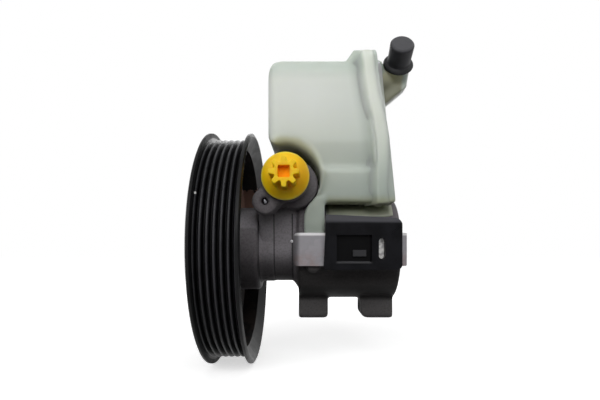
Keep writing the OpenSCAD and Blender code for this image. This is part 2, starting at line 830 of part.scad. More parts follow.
module cover_wire_ring() color(steel_grey) difference() {
    on_x(cover_back + wire_d / 2) cord_ring(cavity_r, wire_d - slip_gap);
    on_x(cover_back - over) linear_extrude(wire_d + 2 * over)
        translate([0, -wire_gap / 2]) square([barrel_r, wire_gap]);
}

// Flow valve

module flow_spool() color(steel_grey) on_valve(spool_y) rotate_extrude() polygon([
    [0, 0], [spool_waist_r - over, 0], [spool_waist_r, over], [spool_waist_r, spool_nose],
    [spool_r, spool_nose], [spool_r, spool_land], [spool_waist_r, spool_land],
    [spool_waist_r, spool_land + spool_neck], [spool_r, spool_land + spool_neck],
    [spool_r, spool_l], [spool_waist_r, spool_l], [spool_waist_r, spool_l - spool_cup],
    [0, spool_l - spool_cup]]);

// Round wire wound with closed end turns.
module coil(mid_r, wire, low, high, turns) {
    steps = 14 * turns;
    sides = 7;
    points = [for (s = [0:steps]) let (a = 360 * turns * s / steps, z = low + (high - low) * s / steps)
        for (k = [0:sides - 1]) let (t = 360 * k / sides, r = mid_r + wire / 2 * cos(t))
            [r * cos(a), r * sin(a), z + wire / 2 * sin(t)]];
    start = [[for (k = [0:sides - 1]) k]];
    end = [[for (k = [0:sides - 1]) steps * sides + sides - 1 - k]];
    skin = [for (s = [0:steps - 1]) for (k = [0:sides - 1])
        let (n = (k + 1) % sides, a = s * sides, b = a + sides)
            each [[a + k, b + k, b + n], [a + k, b + n, a + n]]];
    polyhedron(points, concat(start, end, skin));
}

module spool_spring() color(zinc_grey) on_valve(0) coil(spring_mid_r, spring_wire,
    spool_back - spool_cup + spring_wire / 2, end_plug_y + spring_seat - spring_wire / 2, spring_turns);

module valve_end_plug() color(zinc_grey) on_valve(0) {
    rotate_extrude() difference() {
        polygon([
            [0, end_plug_y + spring_seat], [spring_seat_r, end_plug_y + spring_seat],
            [spring_seat_r, end_plug_y],
            [valve_bore_d / 2, end_plug_y], [valve_bore_d / 2, valve_far],
            [end_plug_flats / 2 + plug_flange, valve_far],
            [end_plug_flats / 2 + plug_flange, valve_far + plug_flange_t], [0, valve_far + plug_flange_t]]);
        translate([valve_bore_d / 2 - ring_cord, end_plug_y + cord_land])
            square([ring_cord + over, cord_room]);
    }
    translate([0, 0, valve_far + over]) cylinder(d = end_plug_flats / cos(30), h = plug_hex, $fn = 6);
}

module valve_plug_seal() color(rubber_black) on_valve(end_plug_y + cord_land + cord_room / 2)
    cord_ring(valve_bore_d / 2 - ring_cord / 2, ring_cord);

module outlet_union() color(steel_grey) on_valve(-valve_near) rotate_extrude() difference() {
    polygon([
        [port_d / 2 + edge, 0], [union_d / 2, 0], [union_d / 2, union_l], [union_way_r, union_l],
        [union_way_r, port_depth], [port_d / 2, port_depth], [port_d / 2, edge]]);
    translate([union_d / 2 - ring_cord, 2 * cord_land]) square([ring_cord + over, cord_room]);
}

module union_seal() color(rubber_black) on_valve(-valve_near + 2 * cord_land + cord_room / 2)
    cord_ring(union_d / 2 - ring_cord / 2, ring_cord);

// Transport plug and cap

module knob_outline() difference() {
    union() {
        circle(knob_d / 2 - rib_h);
        for (i = [0:knob_ribs - 1]) rotate(90 + 360 * i / knob_ribs)
            polygon([[0, -rib_root], [knob_d / 2, -rib_end], [knob_d / 2, rib_end], [0, rib_root]]);
    }
    square(socket_w, center = true);
}

module transport_plug() color(plug_yellow) out_of_valve(-valve_near - slip_gap) {
    dome_r = (plug_d * plug_d / 4 + plug_dome * plug_dome) / 2 / plug_dome;
    stem_r = port_d / 2 - slip_gap;
    stem_l = port_depth - 2 * over;
    difference() {
        rotate_extrude() intersection() {
            translate([0, plug_edge + plug_dome - dome_r]) circle(dome_r, $fn = 128);
            square([plug_d / 2, plug_edge + plug_dome]);
        }
        translate([0, 0, plug_floor]) linear_extrude(plug_dome + over) square(socket_w, center = true);
    }
    translate([0, 0, -stem_l]) difference() {
        cylinder(r = stem_r, h = stem_l);
        translate([0, 0, -over]) cylinder(r = stem_r - plug_wall, h = stem_l);
    }
    translate([0, 0, plug_edge + plug_dome - over]) linear_extrude(knob_h + over) knob_outline();
}

module transport_cap() color(rubber_black) on_return() rotate_extrude() polygon([
    [return_d / 2 + slip_gap, slip_gap], [cap_ring_d / 2 - cap_ring_r, slip_gap],
    [cap_ring_d / 2, slip_gap + cap_ring_r], [cap_ring_d / 2, cap_ring_t - cap_ring_r],
    [cap_ring_d / 2 - cap_ring_r, cap_ring_t], [cap_d / 2 - cap_draft, cap_ring_t + cap_ring_r],
    [cap_d / 2, cap_h - edge], [cap_d / 2 - edge, cap_h],
    [0, cap_h], [0, return_l + slip_gap], [return_d / 2 + slip_gap, return_l + slip_gap]]);

// Reservoir

// The tank's outer form, or its hollow when drawn a wall further in.
module tank_form(d) intersection() {
    facing(tank_half) linear_extrude(2 * tank_half) difference() {
        rounded([[tank_x + d, notch_low + d], [far, notch_low + d], [far, tank_top - d],
            [tank_x + d, tank_top - d]], [side_r - d, 0, 0, crown_r - d]);
        notch(d);
    }
    tank_section(d);
    tank_plan(d);
}

// The round notch that clears the valve body.
module notch(d) translate([valve_x, valve_z]) circle(tank_notch_r + (d > 0 ? notch_inset : 0));

// Cuts a soft edge where the notch runs out of the tank's side.
module notch_edges() for (side = [0, 180]) translate([valve_x, 0, valve_z]) rotate([90 + side, 0, 0])
    translate([0, 0, tank_half - notch_fillet]) rotate_extrude($fn = 96) difference() {
        translate([tank_notch_r - over, 0]) square(notch_fillet + over);
        translate([tank_notch_r + notch_fillet, 0]) circle(notch_fillet);
    }

module tank_lower(d) intersection() {
    facing(tank_half) linear_extrude(2 * tank_half) difference() {
        translate([valve_x + d, tank_low + d]) square([far, tank_top - tank_low - roof_r - edge]);
        notch(d);
    }
    tank_section(d);
}

// Cut across the tank: rounded roof, and a ledge low on each side.
module tank_section(d) on_x(0) linear_extrude(far) rounded_side(d);

module rounded_side(d) difference() {
    rounded([[-tank_low - d, d - tank_half], [-tank_low - d, tank_half - d],
        [d - tank_top, tank_half - d], [d - tank_top, d - tank_half]],
        [low_r - d, low_r - d, roof_r - d, roof_r - d]);
    for (side = [-1, 1]) scale([1, side]) polygon([
        [-ledge_z, tank_half - d + over], [-ledge_z, tank_half - d],
        [-ledge_z - ledge_in, tank_half - ledge_in - d], [-ledge_z - ledge_rise, tank_half - d],
        [-ledge_z - ledge_rise, tank_half - d + over]]);
}

module tank_plan(d) linear_extrude(far) rounded(
    [[tank_x + d, d - tank_half], [far, d - tank_half], [far, tank_half - d],
     [tank_x + d, tank_half - d]], [end_r - d, 0, 0, end_r - d]);

module tank_solid(d) {
    tank_form(d);
    tank_lower(d);
}

module tank_saddle(d) on_x(0) cylinder(r = saddle_r + d, h = far);

module tank_hollow() difference() {
    tank_solid(tank_wall);
    tank_saddle(tank_wall);
}

// All that lies in front of the seam.
module before_seam() on_seam() translate([-far, -far, 0]) cube([far, 2 * far, far]);

module seam_slab(x, t) on_seam() on_x(x) linear_extrude(t) rounded_box(
    [-seam_top, -tank_half - seam_out], [seam_top - tank_low + edge, 2 * (tank_half + seam_out)], end_r);

// Low webs that stiffen the flange's upper corners.
module seam_gussets() for (side = [-1, 1]) facing(side * gusset_mid + gusset_w / 2)
    linear_extrude(gusset_w) polygon([
        [gusset_x - gusset_ramp, tank_top - over], [gusset_x, seam_top - edge / 2],
        [gusset_x + gusset_l, seam_top - edge / 2], [gusset_x + gusset_l, tank_top - roof_r],
        [gusset_x - gusset_ramp, tank_top - roof_r]]);

// A leg's side view: its edge bends out of the notch's arc and runs straight down.
module leg_outline() difference() {
    translate([leg_x, leg_low]) square([leg_w, tank_low + leg_root - leg_low]);
    difference() {
        translate([leg_x - over, leg_bend_z]) square([leg_meet_x - leg_x + over, tank_top]);
        translate([leg_bend_x, leg_bend_z]) circle(leg_bend_r, $fn = 96);
    }
    notch(0);
}

module tank_leg(side) intersection() {
    on_side(side) polygon([
        [barrel_r + leg_gap, leg_low], [strap_in - seat_gap, leg_low], [strap_in - seat_gap, leg_step],
        [tank_half, leg_step + leg_taper], [tank_half, tank_low + leg_root],
        [barrel_r + leg_gap, tank_low + leg_root]]);
    facing(tank_half) linear_extrude(2 * tank_half) leg_outline();
}

// A Y-Z outline on one side of the pump, drawn out over the leg.
module on_side(side) translate([leg_x, 0, 0]) scale([1, side, 1]) rotate([90, 0, 90])
    linear_extrude(leg_w) children();

module suction_spigot() difference() {
    translate([inlet_x, 0, spigot_low]) cylinder(r = spigot_r, h = saddle_r + tank_wall - spigot_low);
    translate([inlet_x, 0, spigot_seal_z]) rotate_extrude()
        translate([spigot_r - ring_cord, -cord_room / 2]) square([ring_cord + over, cord_room]);
}

module reservoir_front() color(milky) difference() {
    union() {
        difference() {
            union() {
                intersection() {
                    tank_solid(0);
                    before_seam();
                }
                seam_slab(-seam_t, seam_t);
                seam_gussets();
            }
            tank_hollow();
            tank_saddle(0);
            notch_edges();
        }
        tank_leg(-1);
        tank_leg(1);
        suction_spigot();
    }
    translate([inlet_x, 0, 0]) cylinder(r = spigot_way_r, h = saddle_r + 2 * tank_wall);
}

module return_elbow() {
    on_return() translate([0, 0, -return_root - elbow_end])
        cylinder(r1 = elbow_r, r2 = return_d / 2 + return_collar, h = return_root + elbow_end);
    on_return() translate([0, 0, -over]) cylinder(d = return_d, h = return_l + over);
    difference() {
        at_elbow(elbow_x) cylinder(r1 = elbow_root_r, r2 = elbow_r - over, h = return_foot[0] - elbow_x);
        translate([0, -far / 2, seam_top - edge]) cube(far);
        on_return() translate([0, 0, -cap_clear]) cylinder(d = cap_ring_d + 2 * cap_clear, h = far);
    }
    elbow_web();
}

// A web with a sloping edge props the elbow on the tank.
module elbow_web() {
    tip_x = return_foot[0] + elbow_tip;
    translate([0, elbow_at[1] + elbow_web / 2, 0]) rotate([90, 0, 0]) linear_extrude(elbow_web) polygon([
        [elbow_x, elbow_at[2] - elbow_drop - (tip_x - elbow_x) * tan(elbow_slope)],
        [tip_x, elbow_at[2] - elbow_drop], [tip_x, elbow_at[2]], [elbow_x, elbow_at[2]]]);
}

// Runs along +X into the elbow's bend.
module at_elbow(x) translate([x, elbow_at[1], elbow_at[2]]) on_x(0) children();

module return_way() {
    on_return() translate([0, 0, -return_root - edge])
        cylinder(r = return_way_r, h = return_root + edge + return_l + over);
    at_elbow(seam_way_x) cylinder(r = seam_way_r, h = return_foot[0] + edge - seam_way_x);
}

// The shallow pan behind the seam, or its hollow when drawn a wall further in.
module rear_dome(d) on_seam() intersection() {
    on_x(0) linear_extrude(seam_t + dome_out) rounded_box(
        [d - tank_top, d - tank_half], [dome_l - 2 * d, 2 * (tank_half - d)], roof_r - d);
    linear_extrude(far) polygon([
        [0, d - tank_half], [seam_t - d, d - tank_half], [seam_t + dome_out - d, -dome_half],
        [seam_t + dome_out - d, dome_half], [seam_t - d, tank_half - d], [0, tank_half - d]]);
}

// The rear half deepens below its knee, behind the flange.
module rear_pan() on_seam() intersection() {
    facing(tank_half + seam_out) linear_extrude(2 * (tank_half + seam_out)) polygon([
        [seam_t / 2, tank_low], [pan_depth, tank_low], [pan_depth, pan_knee], [seam_t, pan_top],
        [seam_t / 2, pan_top]]);
    linear_extrude(far) rounded(
        [[0, pan_in - tank_half - seam_out], [pan_depth, pan_in - tank_half - seam_out],
         [pan_depth, tank_half + seam_out - pan_in], [0, tank_half + seam_out - pan_in]],
        [0, pan_r, pan_r, 0]);
}

module reservoir_rear() color(milky) difference() {
    union() {
        difference() {
            union() {
                seam_slab(0, seam_t);
                rear_dome(0);
                rear_pan();
            }
            difference() {
                rear_dome(tank_wall);
                tank_saddle(tank_wall);
            }
            tank_saddle(0);
        }
        difference() {
            return_elbow();
            before_seam();
        }
    }
    return_way();
}

module spigot_seal() color(rubber_black) translate([inlet_x, 0, spigot_seal_z])
    cord_ring(spigot_r - ring_cord / 2, ring_cord);

// Strap and clip

module strap_plan() difference() {
    rounded_box([strap_x, -strap_out], [strap_back - strap_x, 2 * strap_out], strap_bend);
    rounded_box([strap_x + strap_t, -strap_in], [strap_back - strap_x - 2 * strap_t, 2 * strap_in],
        strap_bend - strap_t);
    translate([strap_x - over, -hook_in]) square([strap_t + 2 * over, 2 * hook_in]);
}

module retaining_strap() color(zinc_grey) difference() {
    intersection() {
        translate([0, 0, strap_low]) linear_extrude(strap_h) strap_plan();
        facing(strap_out + over) linear_extrude(2 * (strap_out + over))
            rounded_box([strap_x, strap_low], [strap_back - strap_x + over, strap_h], strap_corner);
    }
    facing(-strap_in + over) linear_extrude(strap_t + 2 * over)
        translate([tooth[0] - seat_gap, tooth[1] - seat_gap])
            square([tooth[2] + 2 * seat_gap, tooth[3] + 2 * seat_gap]);
}

module clip_outline(d) rounded(
    [[clip_x - clip_flare + d, clip_low + d], [clip_x + clip_l - d, clip_low + d],
     [clip_x + clip_l - d, clip_low + clip_h - clip_top_drop - d], [clip_x + d, clip_low + clip_h - d]],
    [1, 3 - d, 4 - d, 1]);

module oblong(at) translate([at[0], at[1]]) {
    square([at[2], at[3] - at[2]], center = true);
    for (side = [-1, 1]) translate([0, side * (at[3] - at[2]) / 2]) circle(at[2] / 2);
}

module clip_shell() difference() {
    facing(-strap_out - slip_gap) linear_extrude(clip_out - slip_gap) clip_outline(0);
    facing(-strap_out + over) linear_extrude(clip_out - clip_wall + over) clip_outline(clip_wall);
    facing(-strap_out + over) linear_extrude(clip_out - clip_wall + over)
        translate([clip_x - clip_mouth, strap_low - slip_gap])
            square([2 * clip_mouth, strap_h + 2 * slip_gap]);
    clip_bevel();
}

// The long bevel along the clip's sloping upper edge.
module clip_bevel() {
    rise = over * clip_bevel_h / clip_bevel_in;
    run = over * clip_bevel_in / clip_bevel_h;
    translate([clip_x, -clip_face, clip_low + clip_h]) rotate([0, atan(clip_top_drop / clip_l), 0])
        rotate([90, 0, 90]) translate([0, 0, -clip_l / 2]) linear_extrude(2 * clip_l) polygon([
            [-over, -clip_bevel_h - rise], [clip_bevel_in + run, over], [-over, over]]);
}

module strap_clip() color(rubber_black) {
    difference() {
        union() {
            clip_shell();
            facing(-strap_out - slip_gap) linear_extrude(clip_out - clip_wall) difference() {
                translate([well[0] - clip_wall, well[1] - clip_wall])
                    square([well[2] + 2 * clip_wall, well[3] + 2 * clip_wall]);
            }
            facing(-strap_out - slip_gap) linear_extrude(clip_out - clip_wall)
                oblong([sight_slot[0], sight_slot[1], sight_slot[2] + 3, sight_slot[3] + 3]);
        }
        facing(-clip_face + well_depth) linear_extrude(well_depth + over)
            translate([well[0], well[1]]) square([well[2], well[3]]);
        facing(-strap_in) linear_extrude(clip_face) oblong(sight_slot);
    }
    facing(-strap_in - slip_gap) linear_extrude(strap_t + clip_out - tooth_out)
        translate([tooth[0], tooth[1]]) square([tooth[2], tooth[3]]);
    clip_hooks();
}

// Hooks over and under the strap's edges that hold the clip on.
module clip_hooks() for (side = [-1, 1])
    translate([hook_x, 0, strap_low + strap_h / 2]) scale([1, 1, side])
    rotate([90, 0, 90]) linear_extrude(hook_l) polygon([
        [clip_wall / 2 - clip_face, strap_h / 2 + slip_gap], [-strap_in + seat_gap, strap_h / 2 + slip_gap],
        [-strap_in + seat_gap, strap_h / 2 - hook_lip], [-strap_in + hook_lip, strap_h / 2 - hook_lip],
        [-strap_in + hook_lip, strap_h / 2 + hook_lip], [clip_wall / 2 - clip_face, strap_h / 2 + hook_lip]]);

pulley();
pulley_hub();
pulley_bolts();
drive_shaft();
bearing_outer_race();
bearing_inner_race();
bearing_balls();
bearing_cage();
bearing_retaining_ring();
shaft_seal();
front_bush();
pump_housing();
passage_ball();
front_plate();
cam_ring();
rotor();
rotor_snap_ring();
rear_plate();
rear_bush();
dowel_pins();
disc_spring();
end_cover();
cover_seal();
cover_wire_ring();
flow_spool();
spool_spring();
valve_end_plug();
valve_plug_seal();
outlet_union();
union_seal();
transport_plug();
reservoir_front();
reservoir_rear();
spigot_seal();
transport_cap();
retaining_strap();
strap_clip();
for (i = [1:vane_count]) vane(i);
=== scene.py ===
import math

import bmesh
import bpy
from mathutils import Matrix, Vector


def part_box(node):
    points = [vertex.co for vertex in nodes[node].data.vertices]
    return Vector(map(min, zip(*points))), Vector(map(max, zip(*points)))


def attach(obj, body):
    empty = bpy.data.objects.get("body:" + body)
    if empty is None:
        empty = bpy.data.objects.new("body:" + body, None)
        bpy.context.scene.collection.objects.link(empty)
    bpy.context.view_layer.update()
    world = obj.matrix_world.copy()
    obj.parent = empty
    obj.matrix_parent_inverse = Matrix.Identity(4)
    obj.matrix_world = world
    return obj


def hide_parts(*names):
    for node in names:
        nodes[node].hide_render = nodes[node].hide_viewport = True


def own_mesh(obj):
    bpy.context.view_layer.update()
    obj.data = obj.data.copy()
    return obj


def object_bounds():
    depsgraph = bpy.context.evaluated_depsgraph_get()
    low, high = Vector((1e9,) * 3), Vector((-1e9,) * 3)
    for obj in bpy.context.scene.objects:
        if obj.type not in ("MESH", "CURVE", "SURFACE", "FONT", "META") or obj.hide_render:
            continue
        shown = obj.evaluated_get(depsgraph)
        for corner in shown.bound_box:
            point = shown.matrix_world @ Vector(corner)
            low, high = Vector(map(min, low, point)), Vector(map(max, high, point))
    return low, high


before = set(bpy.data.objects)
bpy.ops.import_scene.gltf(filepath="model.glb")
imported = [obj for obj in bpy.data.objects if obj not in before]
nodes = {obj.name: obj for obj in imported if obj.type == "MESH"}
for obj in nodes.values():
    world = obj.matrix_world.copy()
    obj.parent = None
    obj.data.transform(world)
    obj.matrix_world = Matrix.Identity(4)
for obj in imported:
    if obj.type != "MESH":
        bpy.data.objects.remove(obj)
cad_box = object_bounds()
scene = bpy.context.scene

MM = 0.001

# Places that shapes and materials share, in mm. The shaft runs along X through the origin.
SHAFT_AXIS = (0, 0)
PLUG_X, PLUG_Z = 33.8, 39.8
# The weld of the reservoir's two shells: a leaning plane, from which the bead bows
SEAM_X, SEAM_LEAN = 91.9, math.radians(5.6)
BOW_LOW, BOW_MID, BOW_TOP = 25, 62, 100
BOW_START, BOW_RISE = -1.4, 2.9


def tone(r, g, b):
    """A display colour, 0 to 255, as the linear value that a shader takes."""
    def linear(v):
        v /= 255
        return v / 12.92 if v <= 0.04045 else ((v + 0.055) / 1.055) ** 2.4
    return (linear(r), linear(g), linear(b), 1)


class Look:
    """Builds one procedural material, in the part's own coordinates, in metres."""

    def __init__(self, name, **values):
        self.mat = bpy.data.materials.new(name)
        self.mat.use_nodes = True
        self.tree = self.mat.node_tree
        self.bsdf = self.tree.nodes["Principled BSDF"]
        self.place = self.add("ShaderNodeTexCoord").outputs["Object"]
        split = self.add("ShaderNodeSeparateXYZ", {0: self.place})
        self.x, self.y, self.z = split.outputs
        for key, value in values.items():
            self.set(key.replace("_", " ").title().replace("Ior", "IOR"), value)

    def set(self, name, value):
        self.put(self.bsdf.inputs[name], value)

    def put(self, socket, value):
        if isinstance(value, bpy.types.NodeSocket):
            self.tree.links.new(value, socket)
        else:
            socket.default_value = value

    def add(self, kind, inputs=None, **settings):
        node = self.tree.nodes.new(kind)
        for name, value in settings.items():
            setattr(node, name, value)
        for name, value in (inputs or {}).items():
            self.put(node.inputs[name], value)
        return node

    def math(self, operation, a, b=0.0):
        return self.add("ShaderNodeMath", {0: a, 1: b}, operation=operation).outputs[0]

    def times(self, mask, *others):
        """The product of masks and shares."""
        for other in others:
            mask = self.math("MULTIPLY", mask, other)
        return mask

    def noise(self, scale, detail, rough, stretch=None):
        place = self.place
        if stretch:
            place = self.add("ShaderNodeMapping", {"Vector": place, "Scale": stretch}).outputs[0]
        return self.add("ShaderNodeTexNoise", {
            "Vector": place, "Scale": scale, "Detail": detail, "Roughness": rough}).outputs["Fac"]

    def span(self, value, low, high, to_low=0.0, to_high=1.0):
        """A soft step from to_low, where the value is low, to to_high, where it is high."""
        return self.add("ShaderNodeMapRange", {
            "Value": value, "From Min": low, "From Max": high, "To Min": to_low, "To Max": to_high},
            interpolation_type="SMOOTHSTEP").outputs["Result"]

    def band(self, value, rise, fall):
        """One between two soft steps, nought outside them."""
        return self.times(self.span(value, *rise), self.span(value, *fall))

    def mix(self, fac, a, b, blend="MIX"):
        node = self.add("ShaderNodeMix", data_type="RGBA", blend_type=blend)
        # Sockets of the colour form of this node: factor, A and B
        for socket, value in ((0, fac), (6, a), (7, b)):
            self.put(node.inputs[socket], value)
        return node.outputs[2]

    def radius(self, centre, axis):
        """Distance from a line along one axis through a point."""
        kept = [c for name, c in zip("xyz", (self.x, self.y, self.z)) if name != axis]
        deltas = [self.math("SUBTRACT", c, m) for c, m in zip(kept, centre)]
        squares = [self.math("MULTIPLY", d, d) for d in deltas]
        return self.math("SQRT", self.math("ADD", *squares))

    def distance(self, point):
        return self.add("ShaderNodeVectorMath", {0: self.place, 1: point},
                        operation="DISTANCE").outputs["Value"]

    def bump(self, *layers):
        """Layers of (height, strength, depth in mm), one over the other."""
        normal = None
        for height, strength, depth in layers:
            node = self.add("ShaderNodeBump", {
                "Height": height, "Strength": strength, "Distance": depth * MM})
            if normal:
                self.put(node.inputs["Normal"], normal)
            normal = node.outputs[0]
        self.set("Normal", normal)


def cast_metal():
    m = Look("cast_aluminium", specular_ior_level=0.06)
    broad = m.noise(60, 4, 0.55)
    grain = m.noise(900, 3, 0.6)
    pits = m.noise(2600, 2, 0.5)
    shaft_r = m.radius(SHAFT_AXIS, "x")
    before_barrel = m.span(m.x, 0.0385, 0.0365)
    on_barrel = m.span(m.x, 0.0385, 0.041)
    set_back = m.span(m.y, -0.0236, -0.0224)
    colour = m.mix(m.span(broad, 0.3, 0.7), tone(110, 106, 109), tone(122, 118, 121))
    # Painted light makes the turned neck and the web on it lighter, and painted shade makes them
    # dark below
    neck = m.times(m.span(shaft_r, 0.0245, 0.0225), before_barrel, m.span(m.z, -0.017, -0.001))
    web = m.times(set_back, m.span(m.x, 0.0400, 0.0385), m.band(m.z, (0, 0.004), (0.025, 0.022)))
    colour = m.mix(m.math("MAXIMUM", neck, web), colour, tone(146, 142, 146))
    under_painted_shade = m.times(before_barrel, m.span(m.z, -0.001, -0.012), 0.7)
    colour = m.mix(under_painted_shade, colour, tone(74, 72, 74))
    # Painted shade darkens the fine turned grooves round the neck
    turned_face = m.times(m.span(shaft_r, 0.031, 0.0295), m.span(m.z, 0.0212, 0.0202), set_back)
    for at, half_width in ((0.026, 0.0005), (0.0369, 0.0006), (0.0166, 0.0005)):
        off = m.math("ABSOLUTE", m.math("SUBTRACT", m.x, at))
        groove_painted_shade = m.times(m.span(off, half_width, half_width * 0.4), turned_face, 0.8)
        colour = m.mix(groove_painted_shade, colour, tone(52, 50, 52))
    # Painted shade makes the barrel darker below its top, most of all round its belly
    colour = m.mix(m.times(on_barrel, m.span(m.z, 0.012, 0.004)), colour, tone(90, 88, 88))
    belly = m.times(m.band(m.z, (-0.033, -0.029), (-0.008, -0.018)), on_barrel)
    colour = m.mix(belly, colour, tone(62, 60, 60))
    colour = m.mix(m.times(belly, m.span(m.z, -0.0205, -0.0245)), colour, tone(32, 31, 31))
    colour = m.mix(m.span(grain, 0.4, 0.7, 0, 0.3), colour, tone(150, 146, 148), "MULTIPLY")
    m.set("Base Color", colour)
    m.set("Roughness", m.span(broad, 0.3, 0.7, 0.5, 0.62))
    m.bump((grain, 0.22, 0.25), (pits, 0.18, 0.1))
    return m.mat


def black_paint():
    m = Look("black_paint", specular_ior_level=0.13)
    orange_peel = m.noise(500, 2, 0.4)
    dust = m.noise(160, 5, 0.65)
    shaft_r = m.radius(SHAFT_AXIS, "x")
    colour = m.mix(m.span(dust, 0.45, 0.8, 0, 0.5), tone(3, 3, 4), tone(12, 12, 13))
    # A painted highlight greys the rib crests
    crest_painted_highlight = m.times(m.span(shaft_r, 0.0662, 0.0671, 0, 0.9), m.span(shaft_r, 0.0699, 0.0691),
                    m.span(m.math("ABSOLUTE", m.x), 0.0108, 0.0102), m.span(dust, 0.3, 0.6, 0.6, 1))
    colour = m.mix(crest_painted_highlight, colour, tone(56, 56, 59))
    # Browned metal inside the rim, with one ragged patch painted brighter as painted light where
    # the inside lies in shade
    inside = m.times(m.span(shaft_r, 0.0625, 0.0618), m.span(m.x, -0.0065, -0.0045))
    brown = m.times(inside, m.span(m.noise(90, 4, 0.6), 0.42, 0.62, 0, 0.35))
    colour = m.mix(brown, colour, tone(62, 50, 45))
    ragged = m.math("ADD", m.distance((0.002, 0.051, 0.034)),
                    m.span(m.noise(220, 4, 0.6), 0.3, 0.7, -0.003, 0.003))
    colour = m.mix(m.times(inside, m.span(ragged, 0.0135, 0.0105)), colour, tone(158, 122, 108))
    # A painted glint: a tiny white spot next to the outer flange
    painted_glint = m.span(m.distance((-0.01036, -0.0613, 0.0281)), 0.0009, 0.0005)
    colour = m.mix(painted_glint, colour, tone(235, 235, 232))
    m.set("Base Color", colour)
    # The inner face of the outer flange is left rough
    dull = m.times(m.span(shaft_r, 0.0684, 0.0692), m.span(m.x, 0.0080, 0.0040),
                   m.span(m.x, -0.0118, -0.0114), 0.22)
    m.set("Roughness", m.math("ADD", m.span(dust, 0.3, 0.75, 0.34, 0.46), dull))
    m.bump((orange_peel, 0.06, 0.1))
    return m.mat


def across_weld(m):
    """Distance from the weld, which leans and bows, towards the rear shell."""
    across = m.math("ADD", m.times(m.math("SUBTRACT", m.x, SEAM_X * MM), math.cos(SEAM_LEAN)),
                    m.times(m.z, math.sin(SEAM_LEAN)))
    rise = m.span(m.z, BOW_LOW * MM, BOW_MID * MM, BOW_START * MM, (BOW_START + BOW_RISE) * MM)
    fall = m.span(m.z, BOW_MID * MM, BOW_TOP * MM, 0, -BOW_RISE * MM)
    return m.math("SUBTRACT", across, m.math("ADD", rise, fall))


def milky_plastic():
    m = Look("milky_plastic", specular_ior_level=0.3, roughness=0.4,
             subsurface_weight=0.8, subsurface_scale=0.007, subsurface_radius=(1.0, 1.0, 0.92))
    cloud = m.noise(28, 3, 0.5)
    grain = m.noise(1500, 2, 0.5)
    # Painted shade makes the shells darker towards the bottom
    colour = m.mix(m.span(m.z, 0.012, 0.09), tone(134, 145, 137), tone(232, 239, 227))
    colour = m.mix(m.span(cloud, 0.35, 0.75, 0, 0.3), colour, tone(214, 221, 208))
    colour = m.mix(m.span(m.x, 0.04, 0.09, 0, 0.35), colour, tone(196, 206, 198))
    colour = m.mix(m.span(m.z, 0.094, 0.104, 0, 0.6), colour, tone(174, 188, 178))
    # Painted shade greys a strip beside the weld, and a painted highlight runs paler along it
    across = across_weld(m)
    beside = m.times(m.band(across, (-0.013, -0.0068), (-0.0030, -0.0060)), 0.32)
    colour = m.mix(beside, colour, tone(150, 160, 150))
    ridge_painted_highlight = m.times(m.band(across, (-0.0046, -0.0020), (0.0042, 0.0014)),
                    m.span(m.z, 0.036, 0.078, 0, 0.75))
    colour = m.mix(ridge_painted_highlight, colour, tone(230, 236, 222))
    # Painted shade tints the hollow round the valve olive; painted light gives it a pale rim, a
    # lighter upper side and a pale inner face
    valve_r = m.radius((0.033, 0.043), "y")
    colour = m.mix(m.span(valve_r, 0.0235, 0.0210, 0, 0.8), colour, tone(222, 230, 214))
    olive = m.mix(m.span(m.z, 0.052, 0.060), tone(204, 207, 166), tone(234, 237, 194))
    colour = m.mix(m.span(valve_r, 0.0185, 0.0215, 0.7, 0), colour, olive)
    colour = m.mix(m.span(valve_r, 0.0190, 0.0170, 0, 0.8), colour, tone(240, 242, 200))
    # The same painted olive shade along the low edge and in the elbow, with painted light making
    # the elbow's top paler
    low = m.times(m.band(m.z, (0.0165, 0.0185), (0.031, 0.026)), m.span(m.x, 0.0555, 0.0585), 0.6)
    colour = m.mix(low, colour, tone(168, 170, 134))
    elbow = m.times(m.span(m.distance((0.0975, -0.010, 0.0965)), 0.0165, 0.0130, 0, 0.9),
                    m.span(m.y, -0.005, -0.011), m.span(m.x, 0.1045, 0.1020))
    olive = m.mix(m.span(m.z, 0.097, 0.104), tone(124, 123, 98), tone(206, 203, 170))
    colour = m.mix(elbow, colour, olive)
    # Painted light makes the rear shell palest at its upper near corner
    wedge_painted_light = m.times(m.span(across, 0.0048, 0.0056), m.span(m.y, -0.021, -0.024),
                    m.span(m.z, 0.096, 0.101))
    colour = m.mix(wedge_painted_light, colour, tone(250, 251, 252))
    m.set("Base Color", colour)
    m.bump((grain, 0.05, 0.05))
    return m.mat


def zinc_sheet():
    m = Look("zinc_sheet", metallic=0.3, specular_ior_level=0.35)
    spangle = m.add("ShaderNodeTexVoronoi", {"Vector": m.place, "Scale": 420}, feature="F1")
    grey = m.add("ShaderNodeRGBToBW", {0: spangle.outputs["Color"]}).outputs[0]
    streak = m.noise(160, 3, 0.6, (1, 1, 9))
    colour = m.mix(m.span(grey, 0.2, 0.8), tone(132, 130, 134), tone(138, 136, 140))
    colour = m.mix(m.span(streak, 0.5, 0.8, 0, 0.4), colour, tone(132, 128, 130))
    stain = m.times(m.span(m.z, 0.001, -0.008), m.span(m.noise(120, 4, 0.6), 0.35, 0.6), 0.4)
    colour = m.mix(stain, colour, tone(130, 98, 92))
    # A painted highlight brightens the upper edge, and the strip where the clip's window shows it
    colour = m.mix(m.span(m.z, 0.0068, 0.0078, 0, 0.8), colour, tone(224, 223, 224))
    window = m.times(m.span(m.distance((0.0869, -0.0366, -0.001)), 0.0075, 0.006),
                     m.span(m.noise(500, 2, 0.5), 0.3, 0.6, 0.3, 1))
    colour = m.mix(window, colour, tone(236, 235, 232))
    m.set("Base Color", colour)
    m.set("Roughness", m.span(streak, 0.3, 0.7, 0.36, 0.5))
    m.bump((streak, 0.1, 0.05))
    return m.mat


